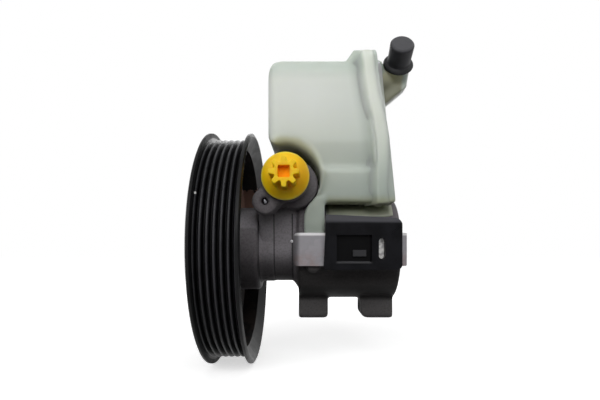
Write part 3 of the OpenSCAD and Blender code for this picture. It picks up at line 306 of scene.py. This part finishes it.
def yellow_plastic():
    m = Look("yellow_plastic", specular_ior_level=0.2, subsurface_weight=0.6,
             subsurface_scale=0.005, subsurface_radius=(1.0, 0.7, 0.1))
    cloud = m.noise(90, 4, 0.6)
    grain = m.noise(1600, 2, 0.5)
    plug_r = m.radius((PLUG_X * MM, PLUG_Z * MM), "y")
    colour = m.mix(m.span(cloud, 0.35, 0.7), tone(244, 192, 6), tone(252, 202, 14))
    # The knob and its socket; the disc's thin rim as a painted highlight, and painted shade on the
    # disc's right side
    colour = m.mix(m.span(m.y, -0.0445, -0.0475), colour, tone(255, 204, 14))
    colour = m.mix(m.span(plug_r, 0.0052, 0.0036), colour, tone(255, 190, 10))
    colour = m.mix(m.span(plug_r, 0.0121, 0.0131, 0, 0.6), colour, tone(250, 222, 104))
    colour = m.mix(m.span(m.x, 0.0380, 0.0440, 0, 0.5), colour, tone(196, 146, 4))
    m.set("Base Color", colour)
    m.set("Roughness", m.span(cloud, 0.3, 0.7, 0.32, 0.42))
    m.bump((grain, 0.2, 0.04))
    return m.mat


def clip_plastic():
    m = Look("black_plastic", specular_ior_level=0.04)
    cloud = m.noise(90, 4, 0.6)
    grain = m.noise(1800, 2, 0.5)
    colour = m.mix(m.span(cloud, 0.35, 0.7), tone(15, 15, 17), tone(24, 24, 27))
    # Painted shade darkens the clip behind its front face, down in its window's well
    colour = m.mix(m.span(m.y, -0.0402, -0.0392), colour, tone(8, 8, 9))
    # Painted highlights lighten the upper bevel and the window's ledge, and painted light lightens
    # the tongue in it
    colour = m.mix(m.span(m.z, 0.0135, 0.0155, 0, 0.8), colour, tone(82, 82, 86))
    ledge = m.times(m.span(m.distance((0.0715, -0.0415, -0.0076)), 0.0105, 0.0085),
                    m.band(m.z, (-0.0084, -0.0079), (-0.0068, -0.0073)), 0.8)
    colour = m.mix(ledge, colour, tone(74, 74, 76))
    tongue = m.times(m.span(m.distance((0.0747, -0.0406, -0.0026)), 0.0050, 0.0034),
                     m.span(m.y, -0.0398, -0.0402))
    colour = m.mix(tongue, colour, tone(58, 58, 60))
    m.set("Base Color", colour)
    m.set("Roughness", m.span(cloud, 0.3, 0.7, 0.34, 0.46))
    m.bump((grain, 0.2, 0.08))
    return m.mat


def cap_rubber(foot=(0.1004, -0.017, 0.1102), axis=(0, -0.891, 0.454)):
    m = Look("cap_rubber", specular_ior_level=0.2)
    cloud = m.noise(90, 4, 0.6)
    grain = m.noise(1300, 2, 0.5)
    colour = m.mix(m.span(cloud, 0.35, 0.7), tone(29, 29, 32), tone(39, 39, 43))
    # A painted highlight greys the end; the foot ring stays darker
    off = m.add("ShaderNodeVectorMath", {0: m.place, 1: foot}, operation="SUBTRACT").outputs[0]
    along = m.add("ShaderNodeVectorMath", {0: off, 1: axis},
                  operation="DOT_PRODUCT").outputs["Value"]
    colour = m.mix(m.span(along, 0.0148, 0.0158), colour, tone(72, 72, 75))
    colour = m.mix(m.span(along, 0.0034, 0.0026), colour, tone(9, 10, 12))
    m.set("Base Color", colour)
    m.set("Roughness", m.span(cloud, 0.3, 0.7, 0.45, 0.56))
    m.bump((grain, 0.2, 0.12))
    return m.mat


def moulded(name, dark, light, roughness, specular, grain_scale, grain_depth):
    m = Look(name, specular_ior_level=specular)
    cloud = m.noise(90, 4, 0.6)
    grain = m.noise(grain_scale, 2, 0.5)
    m.set("Base Color", m.mix(m.span(cloud, 0.35, 0.7), dark, light))
    m.set("Roughness", m.span(cloud, 0.3, 0.7, roughness - 0.05, roughness + 0.06))
    m.bump((grain, 0.2, grain_depth))
    return m.mat


def turned(name, dark, light, roughness, metallic=0.9, line_stretch=(14, 1, 1)):
    m = Look(name, metallic=metallic)
    lines = m.noise(420, 3, 0.6, line_stretch)
    haze = m.noise(60, 4, 0.6)
    m.set("Base Color", m.mix(m.span(haze, 0.3, 0.7), dark, light))
    m.set("Roughness", m.span(lines, 0.3, 0.7, roughness - 0.08, roughness + 0.08))
    m.bump((lines, 0.08, 0.03))
    return m.mat


CAST = cast_metal()
PAINT = black_paint()
MILKY = milky_plastic()
ZINC_SHEET = zinc_sheet()
YELLOW = yellow_plastic()
CLIP = clip_plastic()
CAP = cap_rubber()
SOCKET = moulded("socket_orange", tone(252, 158, 3), tone(255, 170, 6), 0.5, 0.06, 1600, 0.04)
RUBBER = moulded("black_rubber", tone(31, 31, 34), tone(42, 42, 47), 0.5, 0.2, 1300, 0.12)
STEEL = turned("ground_steel", tone(176, 176, 178), tone(196, 196, 198), 0.3)
BRIGHT = turned("bright_steel", tone(206, 206, 208), tone(226, 226, 226), 0.12, 1.0)
BALL = turned("plugged_ball", tone(84, 84, 88), tone(104, 104, 108), 0.26, 1.0)
ZINC = turned("zinc_plate", tone(186, 184, 178), tone(204, 202, 196), 0.34)
BRONZE = turned("bronze", tone(176, 134, 74), tone(198, 154, 92), 0.36)

# The nodes that aren't named here are of ground steel
MATERIALS = {
    "pulley": PAINT, "pulley_hub": ZINC, "pulley_bolts": ZINC, "bearing_balls": BRIGHT,
    "bearing_cage": BRONZE, "shaft_seal": RUBBER, "front_bush": BRONZE, "pump_housing": CAST,
    "passage_ball": BALL, "rear_bush": BRONZE, "dowel_pins": BRIGHT, "end_cover": CAST,
    "cover_seal": RUBBER, "flow_spool": BRIGHT, "valve_end_plug": ZINC, "valve_plug_seal": RUBBER,
    "outlet_union": ZINC, "union_seal": RUBBER, "transport_plug": YELLOW,
    "reservoir_front": MILKY, "reservoir_rear": MILKY, "spigot_seal": RUBBER,
    "transport_cap": CAP, "retaining_strap": ZINC_SHEET, "strap_clip": CLIP,
}
for name, node in nodes.items():
    node.data.materials.clear()
    node.data.materials.append(MATERIALS.get(name, STEEL))

# Softened edges, by width in mm: split points are welded, flat faces joined, then the sharp
# edges are rounded.
ROUNDED = {
    "pulley": 0.3, "strap_clip": 0.35, "retaining_strap": 0.5, "transport_cap": 0.4,
    "valve_end_plug": 0.3, "pulley_bolts": 0.25, "pulley_hub": 0.3, "end_cover": 0.3,
}
WELD_REACH = 0.002
FLAT_ANGLE, SHARP_ANGLE = math.radians(0.8), math.radians(32)
for name, width in ROUNDED.items():
    node = nodes[name]
    weld = node.modifiers.new("weld", "WELD")
    weld.merge_threshold = WELD_REACH * MM
    flat = node.modifiers.new("flat", "DECIMATE")
    flat.decimate_type = "DISSOLVE"
    flat.angle_limit = FLAT_ANGLE
    bevel = node.modifiers.new("edges", "BEVEL")
    bevel.width = width * MM
    bevel.segments = 2
    bevel.limit_method = "ANGLE"
    bevel.angle_limit = SHARP_ANGLE
    bevel.harden_normals = False
    even = node.modifiers.new("normals", "WEIGHTED_NORMAL")
    even.keep_sharp = False
    even.weight = 80

# Moulded and cast pieces have no sharp edge: their skin is drawn afresh on a fine grid, in mm,
# and relaxed in some rounds.
MOULDED = {"reservoir_front": (0.85, 14), "reservoir_rear": (0.75, 14),
           "transport_plug": (0.3, 4), "pump_housing": (0.85, 4)}
for name, (grid, rounds) in MOULDED.items():
    node = nodes[name]
    skin = node.modifiers.new("skin", "REMESH")
    skin.mode = "VOXEL"
    skin.voxel_size = grid * MM
    skin.use_smooth_shade = True
    relax = node.modifiers.new("relax", "SMOOTH")
    relax.factor = 0.5
    relax.iterations = rounds

for node in nodes.values():
    node.data.polygons.foreach_set("use_smooth", [True] * len(node.data.polygons))

# Fine pieces of the moulding and casting that the solids leave out, in mm
FLANGE_Y, FLANGE_LOW, FLANGE_TOP, FLANGE_R = 37.3, 25.5, 113.7, 7.0
# Half width of the front shell beside the flange, at heights along the seam
SHELL_WIDTH = ((25, 33.2), (30, 34.3), (32, 34.5), (44.5, 34.4), (47, 32.8), (50, 32.75),
               (62, 34.5), (100, 34.5), (106, 33.1), (120, 33.0))


def add_piece(name, verts, faces, material, slot, body="pump"):
    mesh = bpy.data.meshes.new(name)
    mesh.from_pydata(verts, [], faces)
    mesh.validate()
    skin = bmesh.new()
    skin.from_mesh(mesh)
    bmesh.ops.recalc_face_normals(skin, faces=skin.faces)
    skin.to_mesh(mesh)
    skin.free()
    mesh.polygons.foreach_set("use_smooth", [True] * len(mesh.polygons))
    mesh.materials.append(material)
    piece = bpy.data.objects.new(name, mesh)
    scene.collection.objects.link(piece)
    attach(piece, body)
    return piece


def skin_rings(rings):
    """Joins closed rings of points of one length into a capped skin, and turns mm into metres."""
    size = len(rings[0])
    verts = [tuple(c * MM for c in point) for ring in rings for point in ring]
    faces = [tuple(range(size))[::-1], tuple(range(len(verts) - size, len(verts)))]
    for k in range(len(rings) - 1):
        for i in range(size):
            j = (i + 1) % size
            faces.append((k * size + i, k * size + j, (k + 1) * size + j, (k + 1) * size + i))
    return verts, faces


def shell_width(up):
    for (low, at_low), (high, at_high) in zip(SHELL_WIDTH, SHELL_WIDTH[1:]):
        if up <= high:
            return at_low + (at_high - at_low) * (up - low) / (high - low)
    return SHELL_WIDTH[-1][1]


def on_seam(across, y, up):
    return (SEAM_X + across * math.cos(SEAM_LEAN) - up * math.sin(SEAM_LEAN), y,
            across * math.sin(SEAM_LEAN) + up * math.cos(SEAM_LEAN))


def seam_bow(up):
    """How far the weld strays from its straight plane."""
    def ease(low, high):
        t = min(max((up - low) / (high - low), 0), 1)
        return t * t * (3 - 2 * t)
    return BOW_RISE * (ease(BOW_LOW, BOW_MID) - ease(BOW_MID, BOW_TOP)) + BOW_START


def seam_path(steps=60, turns=10, over_steps=10):
    """Points (y, up) and outward directions round the weld flange, from low end to low end."""
    shoulder = FLANGE_TOP - FLANGE_R
    rise = [(-FLANGE_Y, FLANGE_LOW + (shoulder - FLANGE_LOW) * i / steps, -1, 0)
            for i in range(steps)]
    reach = FLANGE_Y - FLANGE_R
    corner = []
    for i in range(turns + 1):
        a = math.pi / 2 * (2 - i / turns)
        c, s = math.cos(a), math.sin(a)
        corner.append((-reach + FLANGE_R * c, shoulder + FLANGE_R * s, c, s))
    over = [(-reach + reach * i / over_steps, FLANGE_TOP, 0, 1) for i in range(1, over_steps + 1)]
    half = rise + corner + over
    return half + [(-y, up, -ny, nup) for y, up, ny, nup in reversed(half[:-1])]


def weld_bead(half_width=4.5, flat=2.4, skirt=8.4, height=0.9, sink=3.0, points=10, run_in=6):
    """The rounded bead of melted plastic that closes the joint of the two shells.

    Towards the rear shell it is round, and on the front one it runs out in a soft skirt.
    """
    path = seam_path()
    skirt_points = points + 5
    rings = []
    for k, (y, up, ny, nup) in enumerate(path):
        grow = math.sin(min(min(k, len(path) - 1 - k) / run_in, 1) * math.pi / 2)
        waves = 1 + 0.05 * math.sin(0.33 * up) + 0.04 * math.sin(0.85 * up + 1)
        top = height * (1 - 0.7 * nup) * waves * grow
        drop = FLANGE_Y - shell_width(up) + 0.05 + 2 * (1 - grow)
        ring = []
        for i in range(points):
            a = math.pi / 2 * i / points
            ring.append((half_width * math.cos(a), (top + sink) * math.sin(a) ** 0.62 - sink))
        for i in range(skirt_points):
            u = skirt * i / (skirt_points - 1)
            fall = max(0, (u - flat) / (skirt - flat))
            ring.append((-u, top - (top + drop) * (1 - (1 - fall ** 1.5) ** 4)))
        ring.append((-skirt - 1.1, -drop - 0.8))
        rings.append([on_seam(u + seam_bow(up), y + ny * v, up + nup * v) for u, v in ring])
    return skin_rings(rings)


def saddle_lip(side, x0=57.0, x1=96.0, r0=31.08, r1=32.1, low=36, high=54, steps=16, turns=8):
    """The thin lower lip of the reservoir's saddle on the barrel, from low to high degrees."""
    rings = []
    for k in range(steps + 1):
        t = k / steps
        x = x0 + (x1 - x0) * t
        trim = 2 * abs(2 * t - 1) ** 8
        arc = []
        for i in range(turns + 1):
            arc.append((r0, low + trim + (high - low) * i / turns))
        for i in range(turns + 1):
            arc.append((r1 - 0.5 * (i / turns) ** 4, high - (high - low - trim) * i / turns))
        rings.append([(x, side * r * math.cos(math.radians(a)), r * math.sin(math.radians(a)))
                      for r, a in arc])
    return skin_rings(rings)


def cast_web(x, width, high, low, front_high, front_low, back=8, flank=0.3, steps=12, turns=16):
    """A cast web with rounded flanks that runs down to the neck and ends inside it."""
    rings = []
    for k in range(steps + 1):
        t = k / steps
        z = high + (low - high) * t
        front = front_high + (front_low - front_high) * t
        half = width / 2 + 0.8 * t ** 3
        ring = []
        for i in range(turns + 1):
            a = math.pi * i / turns
            c, s = math.cos(a), math.sin(a)
            ring.append((x + half * math.copysign(abs(c) ** flank, c),
                         -back - (front - back) * s ** flank, z))
        rings.append(ring)
    return skin_rings(rings)


def socket_floor(half=3.12, depth=3.6, knob_face=56.7, thick=1.4, dish=0.5, steps=6):
    """The dished floor of the square socket in the plug's knob."""
    square = ((1, 1), (0.5, 1), (0, 1), (-0.5, 1), (-1, 1), (-1, 0.5), (-1, 0), (-1, -0.5),
              (-1, -1), (-0.5, -1), (0, -1), (0.5, -1), (1, -1), (1, -0.5), (1, 0), (1, 0.5))
    rings = []
    for k in range(steps + 1):
        w = half * (1 - k / steps) if k < steps else 0.02
        y = depth - knob_face + dish * k / steps
        rings.append([(PLUG_X + w * u, y, PLUG_Z + w * v) for u, v in square])
    back = [(x, y + thick, z) for x, y, z in rings[0]]
    return skin_rings([back] + rings)


def lathe(profile, at, axis, points=20):
    """Turns a profile of (radius, height) round an axis through a point."""
    axis = Vector(axis).normalized()
    side = axis.orthogonal().normalized()
    other = axis.cross(side)
    angles = [2 * math.pi * i / points for i in range(points)]
    spokes = [side * math.cos(a) + other * math.sin(a) for a in angles]
    return skin_rings([[tuple(Vector(at) + axis * h + spoke * r) for spoke in spokes]
                       for r, h in profile])


def valve_spring(low, high, wire=1.6, turns=5, closed=0.8, sides=10, steps=28):
    """The spool's spring, wound along Y with closed end turns, in the box that the solid has."""
    low, high = ([c / MM for c in corner] for corner in (low, high))
    axis_x, axis_z = (low[0] + high[0]) / 2, (low[2] + high[2]) / 2
    mid_r = (high[0] - low[0] - wire) / 2
    start, end = low[1] + wire / 2, high[1] - wire / 2
    closed_lead = 1.02 * wire
    open_lead = (end - start - 2 * closed * closed_lead) / (turns - 2 * closed)
    rings = []
    for k in range(turns * steps + 1):
        turn = k / steps
        opened = min(max(turn - closed, 0), turns - 2 * closed)
        shut = min(turn, closed) + max(turn - turns + closed, 0)
        y = start + shut * closed_lead + opened * open_lead
        a = 2 * math.pi * turn
        ring = []
        for i in range(sides):
            t = 2 * math.pi * i / sides
            r = mid_r + wire / 2 * math.cos(t)
            ring.append((axis_x + r * math.cos(a), y + wire / 2 * math.sin(t),
                         axis_z + r * math.sin(a)))
        rings.append(ring)
    return skin_rings(rings)


add_piece("weld_bead", *weld_bead(), MILKY, "milky_plastic")
for side, name in ((-1, "saddle_lip_near"), (1, "saddle_lip_far")):
    add_piece(name, *saddle_lip(side), MILKY, "milky_plastic")
add_piece("neck_web", *cast_web(28.1, 24.2, 27.5, -1, 22.6, 19.8), CAST, "cast_aluminium")
add_piece("socket_floor", *socket_floor(), SOCKET, "yellow_plastic", "plug")
add_piece("stop_pin", *lathe([(0.9, -2.5), (0.9, 0.55), (0.7, 0.8), (0.42, 0.8), (0.36, 0.3)],
                             (36.6, -20.1, 4.2), (0, -0.979, 0.204)), STEEL, "plain_steel")
spring_low, spring_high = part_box("spool_spring")
spring = add_piece("valve_spring", *valve_spring(spring_low, spring_high), ZINC, "zinc_steel")
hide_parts("spool_spring")
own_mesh(spring)

# Stage: floor, world and lamps
FLOOR_Z = cad_box[0].z
MIDDLE_X = 0.047
LAMP_AIM = (0.05, 0, 0.03)


def background_ray(tree):
    """One for rays that show the background itself: seen directly, mirrored or through glass."""
    path = tree.nodes.new("ShaderNodeLightPath")
    total = path.outputs["Is Camera Ray"]
    for name in ("Is Glossy Ray", "Is Transmission Ray"):
        node = tree.nodes.new("ShaderNodeMath")
        node.operation = "MAXIMUM"
        tree.links.new(total, node.inputs[0])
        tree.links.new(path.outputs[name], node.inputs[1])
        total = node.outputs[0]
    return total


def pale_floor(dim=0.06, pale=0.8, near=0.1, far=0.5, glow_near=0.6, glow_far=0.95):
    """Pale all over, with a glow that grows away from the object to meet the white backdrop."""
    m = Look("pale_floor")
    m.tree.nodes.remove(m.bsdf)
    unseen = m.add("ShaderNodeBsdfDiffuse", {"Color": (dim, dim, dim, 1)})
    matt = m.add("ShaderNodeBsdfDiffuse", {"Color": (pale, pale, pale, 1)})
    rise = m.span(m.radius((MIDDLE_X, 0), "z"), near, far, glow_near, glow_far)
    glow = m.add("ShaderNodeEmission", {"Strength": rise})
    seen = m.add("ShaderNodeAddShader", {0: matt.outputs[0], 1: glow.outputs[0]})
    mix = m.add("ShaderNodeMixShader", {
        0: background_ray(m.tree), 1: unseen.outputs[0], 2: seen.outputs[0]})
    m.put(m.tree.nodes["Material Output"].inputs["Surface"], mix.outputs[0])
    return m.mat


def make_floor(half=3.0):
    mesh = bpy.data.meshes.new("floor")
    corners = ((-half, -half), (half, -half), (half, half), (-half, half))
    mesh.from_pydata([(x, y, FLOOR_Z) for x, y in corners], [], [(0, 1, 2, 3)])
    floor = bpy.data.objects.new("floor", mesh)
    scene.collection.objects.link(floor)
    mesh.materials.append(pale_floor())


def make_world(white=1.0, ambient=0.1):
    world = bpy.data.worlds.new("studio")
    scene.world = world
    world.use_nodes = True
    tree = world.node_tree
    tree.nodes.clear()
    out = tree.nodes.new("ShaderNodeOutputWorld")
    mix = tree.nodes.new("ShaderNodeMixShader")
    for socket, level in ((1, ambient), (2, white)):
        sky = tree.nodes.new("ShaderNodeBackground")
        sky.inputs["Color"].default_value = (1, 1, 1, 1)
        sky.inputs["Strength"].default_value = level
        tree.links.new(sky.outputs[0], mix.inputs[socket])
    tree.links.new(background_ray(tree), mix.inputs[0])
    tree.links.new(mix.outputs[0], out.inputs["Surface"])


def make_lamp(name, at, size, power, aim=LAMP_AIM):
    data = bpy.data.lights.new(name, "AREA")
    data.shape = "RECTANGLE"
    data.size, data.size_y = size
    data.energy = power
    lamp = bpy.data.objects.new(name, data)
    lamp.location = at
    direction = Vector(aim) - Vector(at)
    lamp.rotation_euler = direction.to_track_quat("-Z", "Y").to_euler()
    scene.collection.objects.link(lamp)


make_floor()
make_world()
make_lamp("key", (0.0, -0.66, 0.4), (0.7, 0.45), 3.5)
make_lamp("overhead", (-0.02, -0.26, 0.62), (0.5, 0.12), 0.35, (0.03, 0, 0.03))
make_lamp("left_fill", (-0.6, -0.45, 0.24), (0.4, 0.4), 1.4)
make_lamp("right_fill", (0.65, -0.25, 0.34), (0.4, 0.4), 0.9)
make_lamp("back_fill", (0.12, 0.7, 0.42), (0.6, 0.4), 2.0)

# The photograph's camera: level with the shaft, square to it
CAMERA_AT = (0.0471, -0.282, 0)
SENSOR = 36
FOCAL_PX, WIDTH_PX, HEIGHT_PX = 439.0, 600, 400
CENTRE_PX = (309.5, 248.5)
camera_data = bpy.data.cameras.new("camera")
camera_data.sensor_width = SENSOR
camera_data.lens = SENSOR * FOCAL_PX / WIDTH_PX
camera_data.shift_x = (WIDTH_PX / 2 - CENTRE_PX[0]) / WIDTH_PX
camera_data.shift_y = (CENTRE_PX[1] - HEIGHT_PX / 2) / WIDTH_PX
camera_data.clip_start = 0.01
camera = bpy.data.objects.new("camera", camera_data)
camera.location = CAMERA_AT
camera.rotation_euler = (math.pi / 2, 0, 0)
scene.collection.objects.link(camera)
scene.camera = camera

scene.view_settings.view_transform = "Standard"
